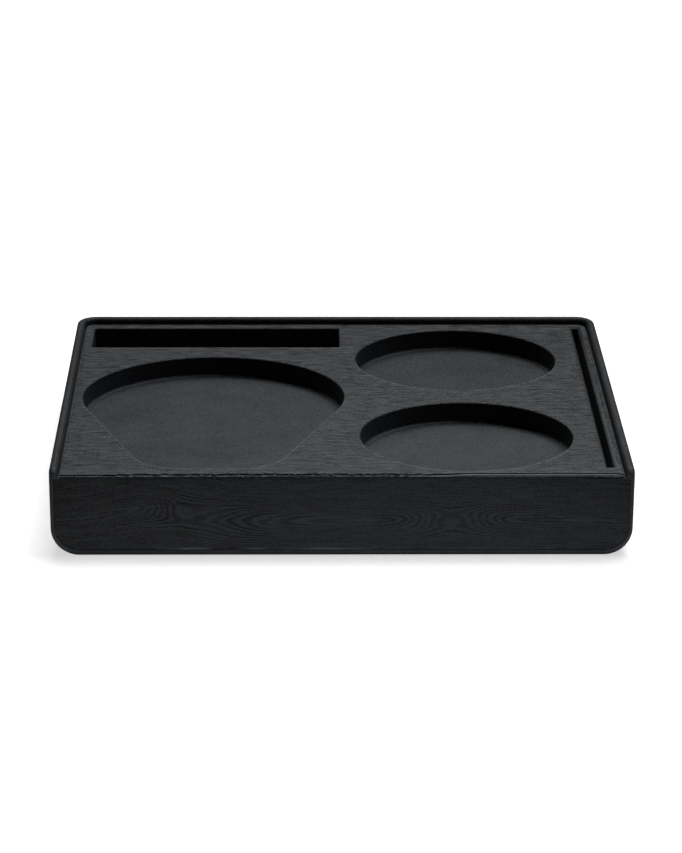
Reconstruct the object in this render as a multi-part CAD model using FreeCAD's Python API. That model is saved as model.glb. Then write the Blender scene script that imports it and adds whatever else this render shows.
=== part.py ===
import FreeCAD, Part
import math
import os

# Espresso tamping station moulded in black silicone, in millimetres.
# X is the width, Z is up from the foot. The features are placed with Y from the open
# front, and the finished body is then centred on the middle of its foot.

# Body: its width and depth follow from the recesses and the lands around them
work_height = 23.0
side_draft = 0.6  # degrees, the walls lean in towards the foot
foot_radius = 7.8
corner_radius = 6.0  # plan radius of the two back corners

# Rim bead and the groove at its foot
rim_width = 2.4
rim_rise = 2.1  # above the work surface
groove_width = 0.45
groove_depth = 0.8

# Round recesses for the tamper and the distributor
tamper_base = 58.5
tamper_clearance = 1.5  # on the diameter
round_front_land = 4.6
round_middle_land = 11.6
round_back_land = 8.8
round_side_land = 14.5
recess_depth = 6.0
floor_fillet = 0.8
lip_chamfer = 0.2  # softened mouths and front top edge

# Portafilter recess: basket circle, straight flanks, blunt nose for the spouts
basket_radius = 38.0
left_land = 5.5  # beside the basket circle and the wide slot
basket_round_land = 4.0
basket_slot_land = 9.7
nose_land = 6.8
nose_radius = 14.0
nose_offset = 7.5  # centre of the nose rounding from the middle of the recess

# Wide slot
wide_length = 75.3
wide_width = 19.9
wide_depth = 16.0
wide_corner = 0.4
wide_back_land = 6.6

# Narrow slot
narrow_mouth = 3.3
narrow_chamfer = 0.65
narrow_depth = 14.0
narrow_side_offset = 6.0  # middle of the slot from the side of the body
narrow_front_land = 7.0
narrow_back_land = 4.8

# Front face
front_round = 0.85
panel_depth = 0.15
panel_side_margin = 1.1
panel_foot_margin = 1.6

round_radius = (tamper_base + tamper_clearance) / 2.0
recess_span = 2.0 * basket_radius + basket_round_land + 2.0 * round_radius
body_width = left_land + recess_span + round_side_land
body_depth = round_front_land + 4.0 * round_radius + round_middle_land + round_back_land
half_width = body_width / 2.0
round_x = half_width - round_side_land - round_radius
round_front_y = round_front_land + round_radius
round_back_y = body_depth - round_back_land - round_radius
wide_left = left_land - half_width
wide_front = body_depth - wide_back_land - wide_width
basket_x = wide_left + basket_radius
basket_y = wide_front - basket_slot_land - basket_radius
narrow_x = half_width - narrow_side_offset
narrow_back = body_depth - narrow_back_land
rim_radius = rim_width / 2.0
bead_centre = work_height + rim_rise - rim_radius
draft = math.radians(side_draft)


def wall_tangent():
    """Where the drafted wall meets the foot rounding, as inset and height."""
    height = foot_radius * (1.0 - math.sin(draft))
    inset = (bead_centre - height) * math.tan(draft)
    return inset, height


def foot_inset():
    """Inset of the flat of the foot, under the centre of the foot rounding."""
    return wall_tangent()[0] + foot_radius * math.cos(draft)


def foot_height(inset):
    """Height of the foot rounding at a given inset from the outline."""
    return foot_radius - math.sqrt(foot_radius ** 2 - (foot_inset() - inset) ** 2)


def wall_section():
    """Section of the edge band: wall, foot rounding, groove and rim bead."""
    x0 = -half_width
    tangent, tangent_z = wall_tangent()
    inner = corner_radius
    mid = (tangent + inner) / 2.0
    top = work_height
    floor = top - groove_depth
    groove_in = rim_width + groove_width
    start = FreeCAD.Vector(x0, 0, bead_centre)
    wall_end = FreeCAD.Vector(x0 + tangent, 0, tangent_z)
    foot_mid = FreeCAD.Vector(x0 + mid, 0, foot_height(mid))
    foot_end = FreeCAD.Vector(x0 + inner, 0, foot_height(inner))
    corner = FreeCAD.Vector(x0 + inner, 0, top)
    bank = FreeCAD.Vector(x0 + groove_in, 0, top)
    groove_a = FreeCAD.Vector(x0 + groove_in, 0, floor)
    groove_b = FreeCAD.Vector(x0 + rim_width, 0, floor)
    flank = FreeCAD.Vector(x0 + rim_width, 0, bead_centre)
    crest = FreeCAD.Vector(x0 + rim_radius, 0, bead_centre + rim_radius)
    edges = [
        Part.makeLine(start, wall_end),
        Part.Arc(wall_end, foot_mid, foot_end).toShape(),
        Part.makeLine(foot_end, corner),
        Part.makeLine(corner, bank),
        Part.makeLine(bank, groove_a),
        Part.makeLine(groove_a, groove_b),
        Part.makeLine(groove_b, flank),
        Part.Arc(flank, crest, start).toShape(),
    ]
    return Part.Face(Part.Wire(edges))


def edge_band():
    """The edge section run along the left side, the back and the right side."""
    section = wall_section()
    straight = body_depth - corner_radius
    left = section.extrude(FreeCAD.Vector(0, straight, 0))
    axis = FreeCAD.Vector(-half_width + corner_radius, straight, 0)
    at_corner = section.translated(FreeCAD.Vector(0, straight, 0))
    corner = at_corner.revolve(axis, FreeCAD.Vector(0, 0, 1), -90)
    at_back = at_corner.copy()
    at_back.rotate(axis, FreeCAD.Vector(0, 0, 1), -90)
    span = body_width - 2.0 * corner_radius
    back = at_back.extrude(FreeCAD.Vector(span, 0, 0))
    mirror_x = FreeCAD.Vector(1, 0, 0)
    origin = FreeCAD.Vector(0, 0, 0)
    return [left, corner, back, left.mirror(origin, mirror_x), corner.mirror(origin, mirror_x)]


def foot_edge(inset_end):
    """Arc of the foot rounding from the edge band to the flat of the foot."""
    flat = foot_inset()
    mid = (inset_end + flat) / 2.0
    a = FreeCAD.Vector(inset_end, 0, foot_height(inset_end))
    b = FreeCAD.Vector(mid, 0, foot_height(mid))
    c = FreeCAD.Vector(flat, 0, 0)
    return a, b, c


def core():
    """The block inside the edge band, its foot edges carrying on the rounding."""
    a, b, c = foot_edge(corner_radius)
    out = FreeCAD.Vector(-half_width, 0, 0)
    left_top = FreeCAD.Vector(-half_width + corner_radius, 0, work_height)
    right_top = FreeCAD.Vector(half_width - corner_radius, 0, work_height)

    def flip(p):
        return FreeCAD.Vector(-p.x, p.y, p.z)

    a_left = a + out
    b_left = b + out
    c_left = c + out
    across = Part.Wire([
        Part.makeLine(left_top, a_left),
        Part.Arc(a_left, b_left, c_left).toShape(),
        Part.makeLine(c_left, flip(c_left)),
        Part.Arc(flip(c_left), flip(b_left), flip(a_left)).toShape(),
        Part.makeLine(flip(a_left), right_top),
        Part.makeLine(right_top, left_top),
    ])
    long_block = Part.Face(across).extrude(FreeCAD.Vector(0, body_depth, 0))

    def at_back(p):
        return FreeCAD.Vector(-half_width, body_depth - p.x, p.z)

    back_top = FreeCAD.Vector(-half_width, body_depth - corner_radius, work_height)
    front_top = FreeCAD.Vector(-half_width, 0, work_height)
    front_foot = FreeCAD.Vector(-half_width, 0, 0)
    along = Part.Wire([
        Part.makeLine(front_top, front_foot),
        Part.makeLine(front_foot, at_back(c)),
        Part.Arc(at_back(c), at_back(b), at_back(a)).toShape(),
        Part.makeLine(at_back(a), back_top),
        Part.makeLine(back_top, front_top),
    ])
    cross_block = Part.Face(along).extrude(FreeCAD.Vector(body_width, 0, 0))
    return long_block.common(cross_block)


def edges_at(shape, test):
    """Edges whose every vertex passes the test."""
    return [e for e in shape.Edges if all(test(v.Point) for v in e.Vertexes)]


def pocket(face, depth):
    """A recess tool: the outline taken down, its floor edge rounded."""
    tool = face.extrude(FreeCAD.Vector(0, 0, -depth))
    floor = work_height - depth
    foot = edges_at(tool, lambda p: abs(p.z - floor) < 1e-6)
    return tool.makeFillet(floor_fillet, foot)


def round_outline(y):
    """Outline of a round recess centred at a distance from the front."""
    centre = FreeCAD.Vector(round_x, y, work_height)
    return Part.Face(Part.Wire(Part.makeCircle(round_radius, centre)))


def portafilter_outline():
    """Basket circle with flanks tangent to it, closing on the rounded nose."""
    nose_y = nose_land + nose_radius
    rise = basket_y - nose_y
    lean = math.asin((basket_radius - nose_radius) / math.hypot(nose_offset, rise))
    flank = lean - math.atan2(nose_offset, rise)
    touch_x = basket_radius * math.cos(flank)
    touch_y = basket_y - basket_radius * math.sin(flank)
    end_x = nose_offset + nose_radius * math.cos(flank)
    end_y = nose_y - nose_radius * math.sin(flank)
    turn = math.pi / 4.0 + flank / 2.0
    mid_x = nose_offset + nose_radius * math.cos(turn)
    mid_y = nose_y - nose_radius * math.sin(turn)
    crown = basket_y + basket_radius

    def at(x, y):
        return FreeCAD.Vector(basket_x + x, y, work_height)

    edges = [
        Part.Arc(at(touch_x, touch_y), at(0, crown), at(-touch_x, touch_y)).toShape(),
        Part.makeLine(at(-touch_x, touch_y), at(-end_x, end_y)),
        Part.Arc(at(-end_x, end_y), at(-mid_x, mid_y), at(-nose_offset, nose_land)).toShape(),
        Part.makeLine(at(-nose_offset, nose_land), at(nose_offset, nose_land)),
        Part.Arc(at(nose_offset, nose_land), at(mid_x, mid_y), at(end_x, end_y)).toShape(),
        Part.makeLine(at(end_x, end_y), at(touch_x, touch_y)),
    ]
    return Part.Face(Part.Wire(edges))


def wide_slot():
    """Deep open slot with nearly sharp upright corners."""
    corner = FreeCAD.Vector(wide_left, wide_front, work_height - wide_depth)
    block = Part.makeBox(wide_length, wide_width, wide_depth, corner)
    upright = [e for e in block.Edges if abs(e.Vertexes[0].Z - e.Vertexes[1].Z) > 1.0]
    return block.makeFillet(wide_corner, upright)


def frame_at(x0, x1, y0, y1, z):
    """A rectangle in plan at a height, as a wire."""
    points = [
        FreeCAD.Vector(x0, y0, z),
        FreeCAD.Vector(x1, y0, z),
        FreeCAD.Vector(x1, y1, z),
        FreeCAD.Vector(x0, y1, z),
        FreeCAD.Vector(x0, y0, z),
    ]
    return Part.makePolygon(points)


def narrow_slot():
    """Thin deep slot with a chamfered mouth."""
    x0 = narrow_x - narrow_mouth / 2.0
    x1 = narrow_x + narrow_mouth / 2.0
    c = narrow_chamfer
    front = narrow_front_land
    mouth = frame_at(x0, x1, front, narrow_back, work_height)
    throat = frame_at(x0 + c, x1 - c, front + c, narrow_back - c, work_height - c)
    funnel = Part.makeLoft([mouth, throat], True, True)
    corner = FreeCAD.Vector(x0 + c, front + c, work_height - narrow_depth)
    length = narrow_back - front - 2.0 * c
    gap = narrow_mouth - 2.0 * c
    deep = Part.makeBox(gap, length, narrow_depth - c, corner)
    return funnel.fuse(deep)


def front_panel():
    """Shallow sunk field of the front face, inside a smooth border."""
    side = half_width - panel_side_margin
    low = panel_foot_margin
    radius = foot_radius - panel_side_margin
    top = work_height - groove_depth
    turn_z = low + radius
    flat_x = side - radius
    mid_x = flat_x + radius * math.cos(math.pi / 4.0)
    mid_z = turn_z - radius * math.sin(math.pi / 4.0)

    def at(x, z):
        return FreeCAD.Vector(x, 0, z)

    edges = [
        Part.makeLine(at(-side, top), at(-side, turn_z)),
        Part.Arc(at(-side, turn_z), at(-mid_x, mid_z), at(-flat_x, low)).toShape(),
        Part.makeLine(at(-flat_x, low), at(flat_x, low)),
        Part.Arc(at(flat_x, low), at(mid_x, mid_z), at(side, turn_z)).toShape(),
        Part.makeLine(at(side, turn_z), at(side, top)),
        Part.makeLine(at(side, top), at(-side, top)),
    ]
    field = Part.Face(Part.Wire(edges)).extrude(FreeCAD.Vector(0, panel_depth, 0))
    inner = half_width - rim_width - groove_width
    upper = Part.makeBox(2.0 * inner, panel_depth, groove_depth, FreeCAD.Vector(-inner, 0, top))
    return field.fuse(upper)


def is_outer_front(edge):
    """True for the outer outline of the front face: walls, foot and rim ends."""
    middle = edge.CenterOfMass
    on_side = abs(middle.x) > half_width - rim_width + 1e-3
    return on_side or middle.z < foot_radius


def is_lip(edge):
    """True for the mouth of a recess or of the wide slot, and for the front top edge."""
    middle = edge.CenterOfMass
    at_groove = half_width - rim_width - groove_width
    on_work = abs(middle.x) < at_groove - 1.0 and middle.y < wide_front + wide_width + 1.0
    return on_work and middle.x < narrow_x - narrow_mouth


def rolled_rim_end():
    """Front end of the left rim: its section rolled forward and down on to the work height."""
    x0 = -half_width
    x1 = x0 + rim_width
    lean = (bead_centre - work_height) * math.tan(draft)
    foot = FreeCAD.Vector(x0 + lean, 0, work_height)
    side = FreeCAD.Vector(x0, 0, bead_centre)
    crest = FreeCAD.Vector(x0 + rim_radius, 0, bead_centre + rim_radius)
    flank = FreeCAD.Vector(x1, 0, bead_centre)
    inner = FreeCAD.Vector(x1, 0, work_height)
    section = Part.Face(Part.Wire([
        Part.makeLine(foot, side),
        Part.Arc(side, crest, flank).toShape(),
        Part.makeLine(flank, inner),
        Part.makeLine(inner, foot),
    ]))
    section.translate(FreeCAD.Vector(0, rim_rise, 0))
    axis = FreeCAD.Vector(0, rim_rise, work_height)
    return section.revolve(axis, FreeCAD.Vector(1, 0, 0), 90)


def roll_rim_ends(body):
    """Replace the square front ends of the rim by rolled ones."""
    square = Part.makeBox(body_width, rim_rise, 2.0 * rim_rise,
                          FreeCAD.Vector(-half_width, 0, work_height))
    left = rolled_rim_end()
    right = left.mirror(FreeCAD.Vector(0, 0, 0), FreeCAD.Vector(1, 0, 0))
    return body.cut(square).fuse(left).fuse(right)


def station_body():
    body = core()
    for piece in edge_band():
        body = body.fuse(piece)
    body = body.removeSplitter()
    front = edges_at(body, lambda p: abs(p.y) < 1e-6)
    body = body.makeFillet(front_round, [e for e in front if is_outer_front(e)])
    body = roll_rim_ends(body)
    rounds = [round_outline(round_front_y), round_outline(round_back_y)]
    for outline in rounds + [portafilter_outline()]:
        body = body.cut(pocket(outline, recess_depth))
    body = body.cut(wide_slot())
    body = body.cut(narrow_slot())
    body = body.cut(front_panel())
    body = body.removeSplitter()
    mouths = edges_at(body, lambda p: abs(p.z - work_height) < 1e-6)
    return body.makeChamfer(lip_chamfer, [e for e in mouths if is_lip(e)])


def main():
    os.makedirs("parts", exist_ok=True)
    body = station_body()
    body.translate(FreeCAD.Vector(0, -body_depth / 2.0, 0))
    body.exportStep("parts/station_body.step")
    print("valid", body.isValid(), "solids", len(body.Solids), "faces", len(body.Faces))
    print("volume", body.Volume, "box", body.BoundBox)


main()
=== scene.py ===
import math

import bmesh
import bpy
import numpy as np
from bpy.props import FloatProperty, FloatVectorProperty, PointerProperty, StringProperty
from bpy.types import Operator, Panel, PropertyGroup
from mathutils import Matrix, Vector
from mathutils.geometry import delaunay_2d_cdt


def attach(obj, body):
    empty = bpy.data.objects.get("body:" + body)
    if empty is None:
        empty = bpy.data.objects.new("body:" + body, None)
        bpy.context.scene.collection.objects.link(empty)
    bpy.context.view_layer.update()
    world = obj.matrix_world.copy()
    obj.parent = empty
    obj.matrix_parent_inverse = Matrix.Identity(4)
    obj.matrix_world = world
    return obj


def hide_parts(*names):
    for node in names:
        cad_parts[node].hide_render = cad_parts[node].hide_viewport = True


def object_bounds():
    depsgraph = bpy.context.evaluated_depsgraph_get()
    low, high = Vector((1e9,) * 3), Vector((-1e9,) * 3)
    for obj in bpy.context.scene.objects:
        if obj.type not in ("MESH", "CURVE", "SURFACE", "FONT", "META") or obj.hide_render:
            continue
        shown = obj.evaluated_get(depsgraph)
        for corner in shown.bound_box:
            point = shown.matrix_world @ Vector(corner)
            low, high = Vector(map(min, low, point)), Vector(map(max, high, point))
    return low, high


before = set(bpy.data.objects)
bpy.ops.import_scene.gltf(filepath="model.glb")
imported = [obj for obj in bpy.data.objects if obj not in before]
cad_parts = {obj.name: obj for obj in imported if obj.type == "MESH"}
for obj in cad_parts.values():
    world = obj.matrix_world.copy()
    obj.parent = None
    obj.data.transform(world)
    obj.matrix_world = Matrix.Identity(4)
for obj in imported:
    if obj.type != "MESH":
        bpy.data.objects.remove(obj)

bl_info = {
    "name": "Espresso Tamping Station",
    "version": (1, 0, 0),
    "blender": (4, 5, 0),
    "location": "3D View > Sidebar > Station",
    "description": "Builds a moulded silicone tamping station and a plain stage for it",
    "category": "Object",
}

# Lengths are in metres, unless a name or a heading says millimetres.
MM = 0.001
CAD_LOW, CAD_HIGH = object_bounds()
WORK_Z = 0.023  # height of the work surface
GROOVE_BANK_X = 0.07715  # half width of the work surface, up to the groove at the rim
LIP_Y = CAD_LOW.y + 0.00035  # where the work surface turns over to the front
LIP_Z = WORK_Z - 0.0002  # where that turn meets the front panel
PANEL_Y = CAD_LOW.y + 0.00015  # sunk panel of the front face
LEDGE_Z = 0.0016  # ledge under the panel
STRIP_DEPTH = 0.0006  # the rounded strip round the panel lies this near to the front
FILLET_Z = (0.01705, 0.01775)  # the fillets round the recess floors lie between these heights
LIP_RUN = math.hypot(PANEL_Y - LIP_Y, WORK_Z - LIP_Z)
NEAR = 1e-5  # a point this close to a plane is on it
SHARP_ANGLE = math.radians(32.0)  # folds in the solid's own surfaces past this are sharp
STEEP_ANGLE = math.radians(52.0)  # folds in the grained sheet past this are sharp, as in the crack
GRAIN_STRETCH = 0.34  # grain samples lie this much closer across the grain than along it
LIP_BAND = 3.2 * MM  # strip of the work surface, behind the lip, with samples as fine as the lip's
CRACK = 1.30 * MM  # the crack behind the lip has its wall this far back
WALL_RUN = 0.03 * MM  # the wall of the crack is nearly upright: its two rows are this far apart
WALL_ROOM = 0.06 * MM  # no other row comes this close to the foot of the wall
WALL_SLACK = 0.01 * MM  # rounding room at the foot of the wall, which is cut like what is before it
EDGE_RING = 0.30 * MM  # a ring of samples runs this far outside each opening
EDGE_ROOM = 0.35  # clear of the ends of a row, as a share of the step between samples
OUTLINE_ROOM = 0.4  # clear of the outline, as a share of the spacing of the front rows
ROW_NUDGE = 1e-7  # keeps a row of samples off the outline's own points
MERGE_GAP = 2e-6  # vertices of the solid that are this close are one
MEAN_GROOVE = 0.35  # groove value of the uncut edges of the grained sheet
FULL_SHADE = 1.4  # groove value of the darkest places; plain grain goes from 0 to 1
HIGHLIGHT_STRIP, HIGHLIGHT_LEDGE, HIGHLIGHT_FILLET = 0.25, 0.06, 0.12  # painted highlight values of the strip, the band under the ledge and the fillets
INSIDE_OUTLINE, SAME_POINT_MM = 1, 1e-7  # what the triangulation keeps, and how close it merges
BLOCK = 2000  # samples that are compared with the outline at a time


def linear(hex_colour):
    """A colour written as sRGB hex, as a linear RGBA tuple."""
    channels = [int(hex_colour[i:i + 2], 16) / 255.0 for i in (1, 3, 5)]
    return tuple(
        c / 12.92 if c <= 0.04045 else ((c + 0.055) / 1.055) ** 2.4 for c in channels
    ) + (1.0,)


# ---- Settings ----


class StationBodySettings(PropertyGroup):
    # The darker colour: painted shade in grooves, in the crack, on the broken lip and towards the
    # far corners, and random tone as well.
    shade_and_tone_hex: StringProperty(
        name="Grooves", description="Colour deep in the grain, as sRGB hex", default="#1a1c1f",
    )
    ridge_hex: StringProperty(
        name="Ridges", description="Colour on the ridges of the grain, as sRGB hex",
        default="#373b3f",
    )
    # Painted highlights: the paler colour that stands for light caught along edges.
    highlight_hex: StringProperty(
        name="Lines", description="Colour of the pale moulding lines, as sRGB hex",
        default="#7a7e82",
    )
    top_row: FloatProperty(
        name="Top Row", description="Spacing of the grain samples on the work surface",
        default=0.38 * MM, unit="LENGTH",
    )
    front_row: FloatProperty(
        name="Front Row", description="Spacing of the grain samples on the front",
        default=0.15 * MM, unit="LENGTH",
    )
    lip_step: FloatProperty(
        name="Lip Step", description="Spacing of the samples along the front lip",
        default=0.30 * MM, unit="LENGTH",
    )
    top_pitch: FloatProperty(
        name="Top Grain Pitch", description="Distance between grain lines on the work surface",
        default=1.55 * MM, unit="LENGTH",
    )
    top_relief: FloatProperty(
        name="Top Relief", description="Depth of the grain lines on the work surface",
        default=0.15 * MM, unit="LENGTH",
    )
    front_pitch: FloatProperty(
        name="Front Grain Pitch", description="Distance between grain lines on the front",
        default=0.58 * MM, unit="LENGTH",
    )
    front_relief: FloatProperty(
        name="Front Relief", description="Depth of the grain lines on the front",
        default=0.08 * MM, unit="LENGTH",
    )


class StationStageSettings(PropertyGroup):
    floor_size: FloatProperty(
        name="Floor Size", description="Side of the square floor", default=8.0, unit="LENGTH"
    )
    lens: FloatProperty(
        name="Lens", description="Focal length of the camera in millimetres", default=149.43
    )
    camera_place: FloatVectorProperty(
        name="Camera Place", description="Where the camera stands",
        default=(-0.013897, -0.983116, 0.342829), subtype="TRANSLATION", unit="LENGTH",
    )
    camera_pitch: FloatProperty(
        name="Camera Pitch", description="How far the camera looks down",
        default=math.radians(18.543), subtype="ANGLE", unit="ROTATION",
    )
    camera_turn: FloatProperty(
        name="Camera Turn", description="How far the camera is turned to the left",
        default=math.radians(-0.849), subtype="ANGLE", unit="ROTATION",
    )
    camera_roll: FloatProperty(
        name="Camera Roll", description="How far the camera leans",
        default=math.radians(0.238), subtype="ANGLE", unit="ROTATION",
    )


# ---- Materials ----

SILICONE_IOR = 1.43
RIDGE_GLOSS, GROOVE_GLOSS = 0.75, 0.20  # specular level at share 0 and at share 1
FALLOFF_LIGHT_PLACE = (0.02, -0.055, WORK_Z)  # painted falloff: the skin is lightest and glossiest round this point
FALLOFF_NEAR, FALLOFF_FAR = 0.03, 0.12  # how far from there the skin starts and ends to get darker and duller, as painted shade
FALLOFF_SHADE = 0.25  # what is added to the share where the painted shade is darkest
GRIT_SCALE = (2600.0, 1500.0, 2600.0)  # cells in a metre
STREAK_SCALE = (200.0, 1500.0, 1700.0)  # streaks in a metre
CLOUD_SCALE = 90.0  # clouds in a metre
STREAK_RELIEF, PORE_RELIEF, SKIN_RELIEF = 0.00008, 0.00012, 0.00008  # bump depths


def add_node(tree, kind, values=None, links=None):
    """Add a node, set its properties and input values, and link sockets into its inputs."""
    node = tree.nodes.new(kind)
    for key, value in (values or {}).items():
        if isinstance(key, str) and key not in node.inputs:
            setattr(node, key, value)
        else:
            node.inputs[key].default_value = value
    for key, socket in (links or {}).items():
        tree.links.new(socket, node.inputs[key])
    return node


def new_material(name):
    """An empty node material, with its tree and its output node."""
    material = bpy.data.materials.new(name)
    material.use_nodes = True
    tree = material.node_tree
    tree.nodes.clear()
    return material, tree, tree.nodes.new("ShaderNodeOutputMaterial")


def tone_and_shade(tree, settings, share):
    """Silicone colour that runs from the ridge colour to the darker one with a share from 0 to 1;
    the share holds painted shade as well as random tone.
    """
    tone = add_node(tree, "ShaderNodeMix", {"data_type": "RGBA"}, {0: share})
    tone.inputs[6].default_value = linear(settings.ridge_hex)
    tone.inputs[7].default_value = linear(settings.shade_and_tone_hex)
    return tone.outputs[2]


def silicone_surface(tree, output, share, colour, roughness, normal):
    """The silicone itself, joined to the material's output. Its pits send back less gloss."""
    gloss = add_node(tree, "ShaderNodeMapRange",
                     {"To Min": RIDGE_GLOSS, "To Max": GROOVE_GLOSS}, {"Value": share})
    surface = add_node(tree, "ShaderNodeBsdfPrincipled", {"IOR": SILICONE_IOR, "Metallic": 0.0},
                       {"Base Color": colour, "Roughness": roughness, "Normal": normal,
                        "Specular IOR Level": gloss.outputs[0]})
    tree.links.new(surface.outputs[0], output.inputs["Surface"])


def painted_falloff(tree, place):
    """Painted shade: the skin gets darker and less glossy away from the front middle, towards the
    far corners.
    """
    away = add_node(tree, "ShaderNodeVectorMath",
                    {"operation": "DISTANCE", 1: FALLOFF_LIGHT_PLACE}, {0: place})
    dull = add_node(tree, "ShaderNodeMapRange",
                    {"From Min": FALLOFF_NEAR, "From Max": FALLOFF_FAR,
                     "To Min": 0.0, "To Max": FALLOFF_SHADE},
                    {"Value": away.outputs["Value"]})
    return dull.outputs[0]


def with_painted_highlights(tree, settings, colour):
    """The colour with painted highlights: paler lines that stand for light on edges, on the lip and
    at the foot of the panel.
    """
    line = add_node(tree, "ShaderNodeAttribute", {"attribute_name": "line"})
    lined = add_node(tree, "ShaderNodeMix", {"data_type": "RGBA"},
                     {0: line.outputs["Fac"], 6: colour})
    lined.inputs[7].default_value = linear(settings.highlight_hex)
    return lined.outputs[2]


def mould_grit(tree, place):
    """Grit of the blasted tool: a random value for each grain, and the pits between the grains.

    Real grains are under 0.2 mm and would not show at this distance, so these are 0.4 to 0.7 mm.
    """
    grain_place = add_node(tree, "ShaderNodeMapping", {"Scale": GRIT_SCALE}, {"Vector": place})
    grains = add_node(tree, "ShaderNodeTexVoronoi", {"Scale": 1.0},
                      {"Vector": grain_place.outputs[0]})
    return grains.outputs["Color"], grains.outputs["Distance"]


def moulded_silicone_grain(settings):
    """Silicone rubber moulded against a wood grained tool: matte, with fine streaks and pores."""
    material, tree, output = new_material("silicone_rubber_moulded_grain")
    place = add_node(tree, "ShaderNodeTexCoord")
    # Painted shade: grooves get a darker colour where the light stays out of them; the mesh gives
    # their depth.
    groove = add_node(tree, "ShaderNodeAttribute", {"attribute_name": "groove"})
    # Streaks about 5 mm long and 0.7 mm wide, along the grain.
    along = add_node(tree, "ShaderNodeMapping", {"Scale": STREAK_SCALE},
                     {"Vector": place.outputs["Object"]})
    streaks = add_node(tree, "ShaderNodeTexNoise", {"Scale": 1.0, "Detail": 3.0, "Roughness": 0.6},
                       {"Vector": along.outputs[0]})
    pores, pits = mould_grit(tree, place.outputs["Object"])
    deep = add_node(tree, "ShaderNodeMapRange",
                    {"From Max": FULL_SHADE, "To Min": 0.1, "To Max": 1.08},
                    {"Value": groove.outputs["Fac"]})
    # The streaks show on the work surface; on the front the rings of the mesh stand in for them.
    facing = add_node(tree, "ShaderNodeSeparateXYZ", None, {0: place.outputs["Normal"]})
    reach = add_node(tree, "ShaderNodeMapRange", {"To Min": 0.08, "To Max": 0.65},
                     {"Value": facing.outputs["Z"]})
    swing = add_node(tree, "ShaderNodeMapRange",
                     {"From Min": 0.3, "From Max": 0.7, "To Min": -1.0, "To Max": 1.0},
                     {"Value": streaks.outputs["Fac"]})
    streak_share = add_node(tree, "ShaderNodeMath", {"operation": "MULTIPLY"},
                            {0: swing.outputs[0], 1: reach.outputs[0]})
    pore_share = add_node(tree, "ShaderNodeMapRange",
                          {"From Min": 0.2, "From Max": 0.8, "To Min": -0.18, "To Max": 0.18},
                          {"Value": pores})
    lined = add_node(tree, "ShaderNodeMath", {"operation": "ADD"},
                     {0: deep.outputs[0], 1: streak_share.outputs[0]})
    # Painted shade towards the far corners is added to the share.
    with_falloff = add_node(tree, "ShaderNodeMath", {"operation": "ADD"},
                      {0: lined.outputs[0], 1: painted_falloff(tree, place.outputs["Object"])})
    share = add_node(tree, "ShaderNodeMath", {"operation": "ADD", "use_clamp": True},
                     {0: with_falloff.outputs[0], 1: pore_share.outputs[0]})
    colour = with_painted_highlights(tree, settings, tone_and_shade(tree, settings, share.outputs[0]))
    matte = add_node(tree, "ShaderNodeMapRange",
                     {"From Min": 0.2, "From Max": 0.8, "To Min": 0.62, "To Max": 0.50},
                     {"Value": pores})
    streak_bump = add_node(tree, "ShaderNodeBump", {"Strength": 1.0, "Distance": STREAK_RELIEF},
                           {"Height": streaks.outputs["Fac"]})
    pore_bump = add_node(tree, "ShaderNodeBump", {"Strength": 1.0, "Distance": PORE_RELIEF},
                         {"Height": pits, "Normal": streak_bump.outputs[0]})
    silicone_surface(tree, output, share.outputs[0], colour, matte.outputs[0], pore_bump.outputs[0])
    return material


def moulded_silicone_satin(settings):
    """Silicone rubber moulded against a blasted tool: even and matte, with a fine frosted skin."""
    material, tree, output = new_material("silicone_rubber_moulded_satin")
    place = add_node(tree, "ShaderNodeTexCoord")
    dimples, pits = mould_grit(tree, place.outputs["Object"])
    # Clouds about 11 mm wide: the blast did not reach every place alike.
    clouds = add_node(tree, "ShaderNodeTexNoise",
                      {"Scale": CLOUD_SCALE, "Detail": 3.0, "Roughness": 0.5},
                      {"Vector": place.outputs["Object"]})
    cloud_share = add_node(tree, "ShaderNodeMapRange",
                           {"From Min": 0.3, "From Max": 0.7, "To Min": 0.3, "To Max": 0.5},
                           {"Value": clouds.outputs["Fac"]})
    dimple_share = add_node(tree, "ShaderNodeMapRange",
                            {"From Min": 0.2, "From Max": 0.8, "To Min": -0.16, "To Max": 0.16},
                            {"Value": dimples})
    # Painted shade towards the far corners is added to the share.
    with_falloff = add_node(tree, "ShaderNodeMath", {"operation": "ADD"},
                      {0: cloud_share.outputs[0], 1: painted_falloff(tree, place.outputs["Object"])})
    share = add_node(tree, "ShaderNodeMath", {"operation": "ADD", "use_clamp": True},
                     {0: with_falloff.outputs[0], 1: dimple_share.outputs[0]})
    matte = add_node(tree, "ShaderNodeMapRange",
                     {"From Min": 0.2, "From Max": 0.8, "To Min": 0.60, "To Max": 0.54},
                     {"Value": dimples})
    skin = add_node(tree, "ShaderNodeBump", {"Strength": 1.0, "Distance": SKIN_RELIEF},
                    {"Height": pits})
    colour = with_painted_highlights(tree, settings, tone_and_shade(tree, settings, share.outputs[0]))
    silicone_surface(tree, output, share.outputs[0], colour, matte.outputs[0], skin.outputs[0])
    return material


# ---- Grain of the mould, in millimetres ----

# The pith of the board dips between the flames: centre of each dip, its left and right width.
PITH_DIPS = ((-43.0, 9.0, 20.0), (29.6, 10.0, 13.0))
PITH_HEIGHT = 10.3  # height of the pith line over the foot
PITH_CLIMB = 3.0  # it climbs by this much near its left end
PITH_CLIMB_BELL = (-52.0, 14.0, 13.0)
PITH_DEPTH = 0.9  # how far the pith lies behind the front
DIP_DEPTH = 3.9  # how much further it lies in a dip
PITH_REACH = 8.5  # height over which the depth of the pith bends the rings

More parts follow.
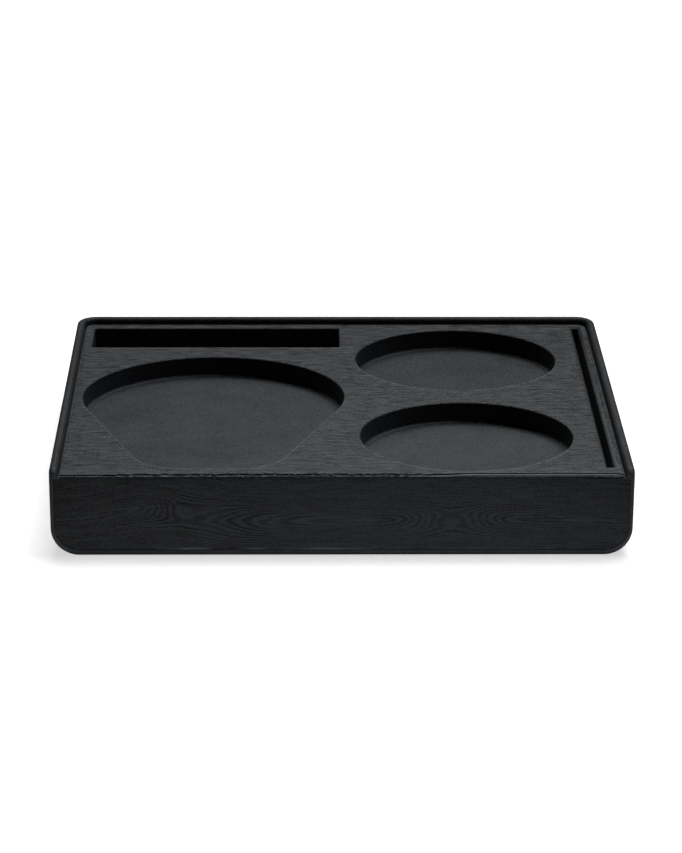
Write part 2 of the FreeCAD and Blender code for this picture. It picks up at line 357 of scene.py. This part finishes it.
# Front lip: the grain breaks up its middle, and its right end has the crack further back.
BROKEN_CENTRE, BROKEN_HALF, BROKEN_FADE = -19.0, 47.0, 6.0
SET_BACK_START, SET_BACK_FADE, SET_BACK_BY = 24.0, 10.0, 1.15
LEFT_START, LEFT_FADE, LEFT_FORWARD = -50.0, 15.0, 0.3  # the crack's left end lies further forward
CRACK_CUT = 0.46  # depth of the crack at its wall
CHIP_DEPTH = 0.30  # depth of the chips in the broken lip
BEND_NEAR, BEND_FAR = 0.8, 1.5  # widths over which the sheet gives way to the bends of the crack
ROW_PITCH = 1.75  # distance between the painted highlight rows behind the crack


def lattice(i, j, seed):
    """A fixed random value from -1 to 1 for each lattice point. The seed tells patterns apart."""
    mask = 0xFFFFFFFF
    h = (i.astype(np.int64) * 374761393 + j.astype(np.int64) * 668265263 + seed * 69069) & mask
    h = ((h ^ (h >> 13)) * 1274126177) & mask
    h = ((h ^ (h >> 16)) * 2246822519) & mask
    return (h ^ (h >> 15)) / (mask / 2.0) - 1.0


def smooth_noise(x, y, seed):
    """Smooth noise from -1 to 1 with features about one unit across."""
    i, j = np.floor(x), np.floor(y)
    u, v = x - i, y - j
    u, v = u * u * (3.0 - 2.0 * u), v * v * (3.0 - 2.0 * v)
    low = lattice(i, j, seed) * (1.0 - u) + lattice(i + 1, j, seed) * u
    high = lattice(i, j + 1, seed) * (1.0 - u) + lattice(i + 1, j + 1, seed) * u
    return low * (1.0 - v) + high * v


def noise_along(x, size, seed):
    """Smooth noise from -1 to 1 that changes along x alone, with features of a given size."""
    return smooth_noise(x / size, x * 0.0, seed)


def bell(x, centre, width):
    """A bell of height 1."""
    return np.exp(-((x - centre) / width) ** 2)


def skewed_bell(x, centre, left, right):
    """A bell of height 1 with its own width on each side."""
    return bell(x, centre, np.where(x < centre, left, right))


def grooves(rings, sharpness):
    """Depth from 0 to 1 of the grooves that lie at whole ring numbers."""
    return (0.5 + 0.5 * np.cos(2.0 * np.pi * rings)) ** sharpness


def front_grain(x, z, pitch):
    """Depth from 0 to 1 of the cathedral grain on the front, z up from the foot.

    The rings of the board lie round a pith that dips between three flames.
    """
    dip = sum(skewed_bell(x, *place) for place in PITH_DIPS)
    climb = PITH_CLIMB * skewed_bell(x, *PITH_CLIMB_BELL)
    rise = z - (PITH_HEIGHT + climb + 0.5 * noise_along(x, 21.0, 3))
    pith = (PITH_DEPTH + DIP_DEPTH * dip) * bell(rise, 0.0, PITH_REACH)
    warp = 0.26 * smooth_noise(x / 11.0, z / 2.5, 5) + 0.09 * smooth_noise(x / 3.5, z / 1.2, 6)
    rings = (np.hypot(rise, pith) + warp) / pitch
    patch = np.clip(0.80 + 0.35 * smooth_noise(x / 6.0, rings / 1.1, 7), 0.0, 1.0)
    fibres = 0.5 + 0.5 * smooth_noise(x / 4.0, rings * 1.9, 9)
    return 0.80 * grooves(rings, 1.1) * patch + 0.20 * fibres


def top_grain(x, y, pitch):
    """Depth from 0 to 1 of the nearly straight grain of the work surface."""
    drift = 1.1 * smooth_noise(x / 45.0, y / 14.0, 11) + 0.25 * smooth_noise(x / 13.0, y / 4.0, 12)
    across = y + drift
    patch = np.clip(0.55 + 0.9 * smooth_noise(x / 8.0, across / 1.3, 13), 0.0, 1.0)
    lines = grooves(across / pitch, 2.4) * patch
    streaks = np.clip(0.4 + 1.0 * smooth_noise(x / 6.0, across / 0.6, 14), 0.0, 1.0)
    return 0.65 * lines + 0.35 * streaks


def broken(x):
    """Share from 0 to 1 of the front lip that the grain breaks up: its middle, not its ends."""
    return np.clip((BROKEN_HALF - np.abs(x - BROKEN_CENTRE)) / BROKEN_FADE, 0.0, 1.0)


def set_back(x):
    """Share from 0 to 1 of the front lip at its right end, where its crack lies further back."""
    return np.clip((x - SET_BACK_START) / SET_BACK_FADE, 0.0, 1.0)


def lip_chips(x, behind):
    """Depth, from 0 to about 1, of the chips in the broken lip. Its right end is sunk all along."""
    beads = np.clip(0.5 + 0.9 * noise_along(x, 0.85, 21), 0.0, 1.0)
    return (broken(x) * beads + 1.1 * set_back(x)) * bell(behind, -0.1, 0.45)


def lip_crack(x, behind):
    """Strength from 0 to 1 of the crack along the grain just behind the front lip. It gives the
    crack its depth, and its painted shade through the groove value.
    """
    gaps = np.clip(0.3 + 1.0 * smooth_noise(x / 0.8, behind / 0.5, 24), 0.0, 1.0)
    near_side = 0.62 + 1.0 * broken(x)
    return (1.0 - 0.5 * broken(x) * gaps) * skewed_bell(behind, CRACK / MM + 0.02, near_side, 0.10)


def crack_cut(x):
    """Depth of the crack at its wall."""
    return CRACK_CUT - 0.06 * broken(x) - 0.10 * set_back(x)


def crack_bend(x):
    """How far back the crack bends: further, and ragged, where the lip is broken."""
    left = np.clip((LEFT_START - x) / LEFT_FADE, 0.0, 1.0)
    drift = 0.12 * noise_along(x, 7.0, 22) - LEFT_FORWARD * left
    ragged = 0.55 + 0.45 * noise_along(x, 1.0, 23)
    inward = np.clip((GROOVE_BANK_X / MM - np.abs(x)) / 2.0, 0.0, 1.0)
    return inward * (drift + broken(x) * ragged + SET_BACK_BY * set_back(x))


def lip_shade(x, behind):
    """Painted shade as a groove value: on the lip where it is broken, and at the foot of its right
    end.
    """
    middle = FULL_SHADE * broken(x) * bell(behind, 0.3, 1.0)
    right = FULL_SHADE * set_back(x) * bell(behind, 0.15, 0.75)
    return np.maximum(middle, right)


def lip_highlights(x, behind):
    """Painted highlights from 0 to 1: along the crest of the lip, and in rows behind the crack next
    to it.
    """
    beads = np.clip(1.05 + 1.0 * smooth_noise(x / 0.9, behind / 0.5, 25), 0.0, 1.0)
    crest = (1.0 - broken(x) * beads) * bell(behind, 0.35 + 0.75 * set_back(x), 0.36)
    strength = 0.12 + 0.33 * np.clip((x - 15.0) / 20.0, 0.0, 1.0)
    rows = grooves((behind - 2.4) / ROW_PITCH, 3.0) * bell(behind, 2.0, 5.0)
    return crest + strength * rows * (behind > 1.6)


def ledge_highlight(x):
    """Where the foot of the panel has a painted highlight above its ledge, from 0 to 1."""
    long_parts = bell(x, -41.0, 5.0) + bell(x, -3.0, 9.0)
    short_parts = 0.8 * bell(x, -23.5, 2.5) + 0.4 * bell(x, 40.0, 12.0)
    return np.clip(long_parts + short_parts + 0.2 * noise_along(x, 2.5, 32), 0.0, 1.0)


# ---- The moulded body ----


def unrolled(point):
    """A point of the grained sheet laid flat: across, and back from the front lip."""
    if point.z > WORK_Z - NEAR:
        return point.x, point.y
    return point.x, LIP_Y - LIP_RUN - (LIP_Z - point.z)


def on_sheet(face):
    """True for a face of the work surface, of the front lip or of the front panel."""
    n = face.normal
    points = [v.co for v in face.verts]
    between_rims = all(abs(p.x) < GROOVE_BANK_X + NEAR for p in points)
    if n.z > 0.999:
        return between_rims and all(abs(p.z - WORK_Z) < NEAR for p in points)
    if n.y < -0.999:
        return all(abs(p.y - PANEL_Y) < NEAR for p in points)
    low_enough = all(p.y < LIP_Y + NEAR and p.z > LIP_Z - NEAR for p in points)
    return low_enough and between_rims


def cuts_at(loops, v):
    """Where the flat outline crosses a row, as places across the sheet."""
    starts, ends = loops[:, 0], loops[:, 1]
    crossing = (starts[:, 1] > v) != (ends[:, 1] > v)
    a, b = starts[crossing], ends[crossing]
    return a[:, 0] + (v - a[:, 1]) / (b[:, 1] - a[:, 1]) * (b[:, 0] - a[:, 0])


def inside_outline(corners, loops):
    """True if the middle of a flat shape is on the sheet and not in one of its openings."""
    u, v = np.mean(corners, axis=0)
    return (cuts_at(loops, v) > u).sum() % 2 == 1


def sheet_samples(loops, settings):
    """Grain samples inside the flat outline, row by row, clear of its edges."""
    low, high = loops[:, 0, 1].min(), loops[:, 0, 1].max()
    lip_low, lip_high = LIP_Y - LIP_RUN, LIP_Y + LIP_BAND
    lip_rows = round((lip_high - lip_low) / settings.front_row)
    front = np.arange(lip_low - 0.5 * settings.front_row, low, -settings.front_row)
    turn = np.linspace(lip_low, lip_high, lip_rows + 1)
    wall = LIP_Y + np.array([CRACK, CRACK + WALL_RUN])
    turn = np.sort(np.append(turn[np.abs(turn - wall[0]) > WALL_ROOM], wall))
    top = np.arange(lip_high + 0.5 * settings.top_row, high, settings.top_row)
    found = []
    for rows, step in ((front, settings.front_row / GRAIN_STRETCH), (turn, settings.lip_step),
                       (top, settings.top_row / GRAIN_STRETCH)):
        clear = EDGE_ROOM * step
        for n, v in enumerate(rows):
            v = v + ROW_NUDGE
            shift = 0.5 * (n % 2)
            cuts = np.sort(cuts_at(loops, v))
            for left, right in zip(cuts[::2], cuts[1::2]):
                first = math.ceil((left + clear) / step - shift)
                last = math.floor((right - clear) / step - shift)
                if last >= first:
                    u = (np.arange(first, last + 1) + shift) * step
                    found.append(np.column_stack([u, np.full(len(u), v)]))
    return np.vstack(found)


def kept_clear(samples, gaps, room):
    """The samples with a gap over a given room. Gaps are taken with the grain's stretch."""
    stretch = np.array([GRAIN_STRETCH, 1.0])
    blocks = np.array_split(samples, max(1, len(samples) // BLOCK))
    return np.vstack([block[gaps(block * stretch) > room] for block in blocks])


def clear_of_edges(samples, loops, room):
    """The samples that are at least a given room away from every edge of the outline."""
    stretch = np.array([GRAIN_STRETCH, 1.0])
    a, b = loops[:, 0] * stretch, loops[:, 1] * stretch
    along = b - a
    length2 = (along ** 2).sum(1)

    def gaps(points):
        p = points[:, None, :] - a[None]
        t = np.clip((p * along[None]).sum(2) / length2[None], 0.0, 1.0)
        return np.linalg.norm(p - t[..., None] * along[None], axis=2).min(1)

    return kept_clear(samples, gaps, room)


def clear_of_points(samples, others, room):
    """The samples that are at least a given room away from every one of a few points."""
    other = others * np.array([GRAIN_STRETCH, 1.0])

    def gaps(points):
        return np.linalg.norm(points[:, None, :] - other[None], axis=2).min(1)

    return kept_clear(samples, gaps, room)


def rolled(samples, settings):
    """Flat samples back in place with the grain cut in, with their groove values, which darken the
    colour as painted shade, and their painted highlight values.
    """
    u, v = samples[:, 0], samples[:, 1]
    x = u / MM
    behind = (v - LIP_Y) / MM
    panel_v = LIP_Y - LIP_RUN
    share = np.clip((LIP_Y - v) / LIP_RUN, 0.0, 1.0)
    turn = share * (math.pi / 2.0)
    radius = LIP_Y - PANEL_Y
    y = np.where(v > LIP_Y, v, LIP_Y - radius * np.sin(turn))
    z = WORK_Z - radius * (1.0 - np.cos(turn)) - np.maximum(panel_v - v, 0.0)

    # Groove value, which darkens the colour as painted shade: the grain, and on the top the crack
    # and the lip's painted shade as well.
    plain = top_grain(x, v / MM, settings.top_pitch / MM)
    crack = lip_crack(x, behind)
    top = np.maximum(np.maximum(plain, crack), lip_shade(x, behind))
    front = front_grain(x, z / MM, settings.front_pitch / MM)
    groove = top * (1.0 - share) + front * share

    # Painted highlight value: the crest of the lip, the rows behind the crack and the foot of the
    # panel.
    over_ledge = np.maximum(z - LEDGE_Z, 0.0) / MM
    ledge_paint = ledge_highlight(x) * (v < panel_v) * bell(over_ledge, 0.25, 0.30)
    line = lip_highlights(x, behind) + 1.15 * ledge_paint

    # Depth: relief of the grain, the crack in front of its wall, and the chips.
    grain = plain * (1.0 - share) + front * share
    relief = settings.top_relief * (1.0 - share) + settings.front_relief * share
    sunk = crack * (v < LIP_Y + CRACK + WALL_SLACK)
    depth = relief * np.minimum(grain, 1.0 - crack) + crack_cut(x) * MM * sunk
    depth = depth + CHIP_DEPTH * MM * lip_chips(x, behind)
    bend = crack_bend(x) * MM * skewed_bell(behind, CRACK / MM, BEND_NEAR, BEND_FAR)
    places = np.column_stack([u, y + depth * np.sin(turn) + bend, z - depth * np.cos(turn)])
    return places, np.clip(groove, 0.0, FULL_SHADE), np.clip(line, 0.0, 1.0)


def outward(loops):
    """For each edge of the flat outline, its length and its direction on to the sheet."""
    a, b = loops[:, 0], loops[:, 1]
    length = np.linalg.norm(b - a, axis=1)
    side = np.column_stack([b[:, 1] - a[:, 1], a[:, 0] - b[:, 0]]) / length[:, None]
    for i, middle in enumerate((a + b) / 2.0):
        probe = middle + 0.5 * EDGE_RING * side[i]
        if not inside_outline([probe], loops):
            side[i] = -side[i]
    return length, side


def opening_ring(loops, settings):
    """Samples that follow the mouths of the openings, just outside them."""
    length, side = outward(loops)
    found = []
    for (a, b), long, out in zip(loops, length, side):
        if min(a[1], b[1]) < LIP_Y + LIP_BAND:
            continue
        count = math.ceil(long / (settings.top_row / GRAIN_STRETCH))
        t = (np.arange(count) + 0.5)[:, None] / count
        found.append(a + t * (b - a) + out * EDGE_RING)
    return np.vstack(found)


def mouth_highlights(flat, edges, loops):
    """Painted highlight of the mouth at each outline point: full on the near side of an opening."""
    side = outward(loops)[1]
    facing = np.zeros(len(flat))
    for (a, b), out in zip(edges, side):
        if min(flat[a][1], flat[b][1]) > LIP_Y + LIP_BAND:
            facing[a] -= 0.5 * out[1]
            facing[b] -= 0.5 * out[1]
    x = np.array([p[0] for p in flat]) / MM
    return np.clip(2.0 * facing, 0.0, 1.0) * (0.6 + 0.4 * noise_along(x, 2.0, 41))


def paint_edge_highlights(bm):
    """Paint highlights on the strip round the front panel, on the band under its ledge, and on the
    fillets at the recess floors.
    """
    line = bm.verts.layers.float["line"]
    for vert in bm.verts:
        x, y, z = vert.co
        if y < CAD_LOW.y + STRIP_DEPTH:
            vert[line] = HIGHLIGHT_STRIP if z > LEDGE_Z + NEAR else HIGHLIGHT_LEDGE
        elif FILLET_Z[0] < z < FILLET_Z[1] and abs(x) < GROOVE_BANK_X:
            vert[line] = HIGHLIGHT_FILLET


def regrain(bm, settings):
    """Replace the flat faces of the sheet by a fine mesh that carries the grain."""
    groove = bm.verts.layers.float["groove"]
    line = bm.verts.layers.float["line"]
    old = [f for f in bm.faces if on_sheet(f)]
    inside = set(old)
    outline = [e for f in old for e in f.edges if sum(g in inside for g in e.link_faces) == 1]
    rim = sorted({v for e in outline for v in e.verts}, key=lambda v: v.index)
    number = {v: i for i, v in enumerate(rim)}
    flat = [unrolled(v.co) for v in rim]
    edges = [(number[e.verts[0]], number[e.verts[1]]) for e in outline]
    loops = np.array([[flat[a], flat[b]] for a, b in edges])
    room = OUTLINE_ROOM * settings.front_row
    samples = clear_of_edges(sheet_samples(loops, settings), loops, room)
    ring = clear_of_edges(opening_ring(loops, settings), loops, 0.2 * EDGE_RING)
    samples = np.vstack([clear_of_points(samples, ring, 0.5 * EDGE_RING), ring])
    points = [Vector((u * GRAIN_STRETCH / MM, v / MM)) for u, v in flat + samples.tolist()]
    result = delaunay_2d_cdt(points, edges, [], INSIDE_OUTLINE, SAME_POINT_MM, True)
    if len(result[0]) != len(points):
        raise RuntimeError("the outline of the grained sheet crosses itself")
    bmesh.ops.delete(bm, geom=old, context="FACES_ONLY")
    bmesh.ops.delete(bm, geom=[e for e in bm.edges if not e.link_faces], context="EDGES")
    places, deep, pale = rolled(samples, settings)
    pale_rim = mouth_highlights(flat, edges, loops)
    new = rim + [bm.verts.new(p) for p in places]
    # Each vertex keeps its groove value, which is painted shade, and its painted highlight value.
    for vert, depth, highlight_value in zip(new, [MEAN_GROOVE] * len(rim) + list(deep),
                                  list(pale_rim) + list(pale)):
        vert[groove] = depth
        vert[line] = highlight_value
    sources = [ids[0] for ids in result[3]]
    faces = []
    for triangle in result[2]:
        ids = [sources[i] for i in triangle]
        if max(ids) < len(rim) and not inside_outline([flat[i] for i in ids], loops):
            continue
        faces.append(bm.faces.new([new[i] for i in ids]))
    return faces


def folded(edge, angle):
    """True if the two faces at an edge are folded by more than an angle."""
    return len(edge.link_faces) == 2 and edge.calc_face_angle() > angle


def moulded_body(settings):
    """The whole moulding: the solid's own surfaces, with the grain cut into its sheet."""
    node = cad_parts["station_body"]
    bm = bmesh.new()
    bm.from_mesh(node.data)
    bmesh.ops.remove_doubles(bm, verts=bm.verts, dist=MERGE_GAP)
    bm.verts.index_update()
    bm.normal_update()
    for edge in bm.edges:
        edge.smooth = not folded(edge, SHARP_ANGLE)
    # The groove layer carries painted shade, and the line layer painted highlights.
    for layer in ("groove", "line"):
        bm.verts.layers.float.new(layer)
    paint_edge_highlights(bm)
    grained = regrain(bm, settings)
    bm.normal_update()
    for edge in {e for face in grained for e in face.edges}:
        in_band = all(LIP_Y < v.co.y < LIP_Y + LIP_BAND for v in edge.verts)
        if in_band and folded(edge, STEEP_ANGLE):
            edge.smooth = False
    for face in bm.faces:
        face.smooth = True
        face.material_index = 1
    for face in grained:
        face.material_index = 0
    mesh = bpy.data.meshes.new("moulded_body")
    bm.to_mesh(mesh)
    bm.free()
    body = bpy.data.objects.new("moulded_body", mesh)
    bpy.context.scene.collection.objects.link(body)
    mesh.materials.append(moulded_silicone_grain(settings))
    mesh.materials.append(moulded_silicone_satin(settings))
    weighted = body.modifiers.new("even_normals", "WEIGHTED_NORMAL")
    weighted.keep_sharp = True
    return body


class STATION_OT_body(Operator):
    """Build the moulded silicone body with its grain"""

    bl_idname = "station.body"
    bl_label = "Moulded Body"

    def execute(self, context):
        body = moulded_body(context.scene.station_body)
        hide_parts("station_body")
        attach(body, "root")
        return {"FINISHED"}


# ---- Stage ----

SENSOR_WIDTH = 36.0  # millimetres
FLOOR_GLOW = 0.62  # brings the lit board up to white, and leaves the shadow on it
BOUNCE_GREY = (0.4, 0.4, 0.4, 1.0)  # what the board sends back to the object
SOFTBOXES = (  # name, place, aim, width, height, watts
    ("overhead_softbox", (0.25, 0.45, 1.4), (0.0, 0.1, 0.02), 1.4, 0.8, 20.0),
    ("back_softbox", (0.0, 1.3, 1.2), (0.0, 0.0, 0.02), 2.0, 0.8, 2.6),
    ("foot_card", (0.0, -0.0877, 0.0002), (0.0, -0.0878, 1.0), 0.17, 0.030, 0.0067),
)


def pale_floor(settings):
    """A seamless white floor: painted board, matte, that still takes the object's shadow."""
    material, tree, output = new_material("painted_board_matte_white")
    board = add_node(tree, "ShaderNodeBsdfDiffuse", {"Color": linear("#f4f4f4")})
    dim = add_node(tree, "ShaderNodeBsdfDiffuse", {"Color": BOUNCE_GREY})
    glow = add_node(tree, "ShaderNodeEmission",
                    {"Color": (1.0, 1.0, 1.0, 1.0), "Strength": FLOOR_GLOW})
    both = add_node(tree, "ShaderNodeAddShader", None, {0: board.outputs[0], 1: glow.outputs[0]})
    path = add_node(tree, "ShaderNodeLightPath")
    pick = add_node(tree, "ShaderNodeMixShader", None,
                    {0: path.outputs["Is Camera Ray"], 1: dim.outputs[0], 2: both.outputs[0]})
    tree.links.new(pick.outputs[0], output.inputs["Surface"])
    mesh = bpy.data.meshes.new("floor")
    half = settings.floor_size / 2.0
    corners = [(-half, -half, 0.0), (half, -half, 0.0), (half, half, 0.0), (-half, half, 0.0)]
    mesh.from_pydata(corners, [], [(0, 1, 2, 3)])
    mesh.materials.append(material)
    floor = bpy.data.objects.new("floor", mesh)
    bpy.context.scene.collection.objects.link(floor)
    return floor


def softbox(name, place, aim, width, height, power):
    """A rectangular softbox at a place, aimed at a point."""
    light = bpy.data.lights.new(name, "AREA")
    light.shape = "RECTANGLE"
    light.size = width
    light.size_y = height
    light.energy = power
    lamp = bpy.data.objects.new(name, light)
    bpy.context.scene.collection.objects.link(lamp)
    lamp.location = place
    lamp.rotation_mode = "QUATERNION"
    lamp.rotation_quaternion = (Vector(aim) - Vector(place)).to_track_quat("-Z", "Y")
    lamp.visible_camera = False
    return lamp


def studio_world():
    """White to the camera, and a dark room to everything else: the softboxes give all the light."""
    world = bpy.data.worlds.new("studio")
    world.use_nodes = True
    tree = world.node_tree
    tree.nodes.clear()
    path = add_node(tree, "ShaderNodeLightPath")
    room = add_node(tree, "ShaderNodeBackground", {"Strength": 0.0})
    white = add_node(tree, "ShaderNodeBackground", {"Color": (1.0, 1.0, 1.0, 1.0), "Strength": 1.0})
    pick = add_node(tree, "ShaderNodeMixShader", None,
                    {0: path.outputs["Is Camera Ray"], 1: room.outputs[0], 2: white.outputs[0]})
    output = tree.nodes.new("ShaderNodeOutputWorld")
    tree.links.new(pick.outputs[0], output.inputs["Surface"])
    bpy.context.scene.world = world


def station_camera(settings):
    """The camera at the photographed angle."""
    turn, pitch, roll = settings.camera_turn, settings.camera_pitch, settings.camera_roll
    ahead = Vector((-math.sin(turn) * math.cos(pitch), math.cos(turn) * math.cos(pitch),
                    -math.sin(pitch)))
    right = Vector((math.cos(turn), math.sin(turn), 0.0))
    up = right.cross(ahead)
    side = right * math.cos(roll) + up * math.sin(roll)
    top = up * math.cos(roll) - right * math.sin(roll)
    data = bpy.data.cameras.new("camera")
    data.sensor_width = SENSOR_WIDTH
    data.lens = settings.lens
    data.clip_start = 0.01
    data.clip_end = 50.0
    camera = bpy.data.objects.new("camera", data)
    bpy.context.scene.collection.objects.link(camera)
    turned = Matrix((side, top, -ahead)).transposed().to_4x4()
    camera.matrix_world = Matrix.Translation(settings.camera_place) @ turned
    bpy.context.scene.camera = camera


class STATION_OT_stage(Operator):
    """Build the pale floor, the soft lights and the camera"""

    bl_idname = "station.stage"
    bl_label = "Stage"

    def execute(self, context):
        settings = context.scene.station_stage
        pale_floor(settings)
        for box in SOFTBOXES:
            softbox(*box)
        studio_world()
        station_camera(settings)
        context.scene.view_settings.view_transform = "Standard"
        return {"FINISHED"}


class STATION_PT_panel(Panel):
    """Settings and a build button for the body and for the stage"""

    bl_label = "Tamping Station"
    bl_space_type = "VIEW_3D"
    bl_region_type = "UI"
    bl_category = "Station"

    def draw(self, context):
        layout = self.layout
        for settings, names, operator in (
            (context.scene.station_body, StationBodySettings.__annotations__, STATION_OT_body),
            (context.scene.station_stage, StationStageSettings.__annotations__, STATION_OT_stage),
        ):
            box = layout.box()
            for name in names:
                box.prop(settings, name)
            box.operator(operator.bl_idname)


CLASSES = (
    StationBodySettings,
    StationStageSettings,
    STATION_OT_body,
    STATION_OT_stage,
    STATION_PT_panel,
)


def register():
    for cls in CLASSES:
        bpy.utils.register_class(cls)
    bpy.types.Scene.station_body = PointerProperty(type=StationBodySettings)
    bpy.types.Scene.station_stage = PointerProperty(type=StationStageSettings)


def unregister():
    del bpy.types.Scene.station_stage
    del bpy.types.Scene.station_body
    for cls in reversed(CLASSES):
        bpy.utils.unregister_class(cls)


def main():
    register()
    bpy.ops.station.body()
    bpy.ops.station.stage()
    bpy.context.view_layer.update()


if __name__ == "__main__":
    main()
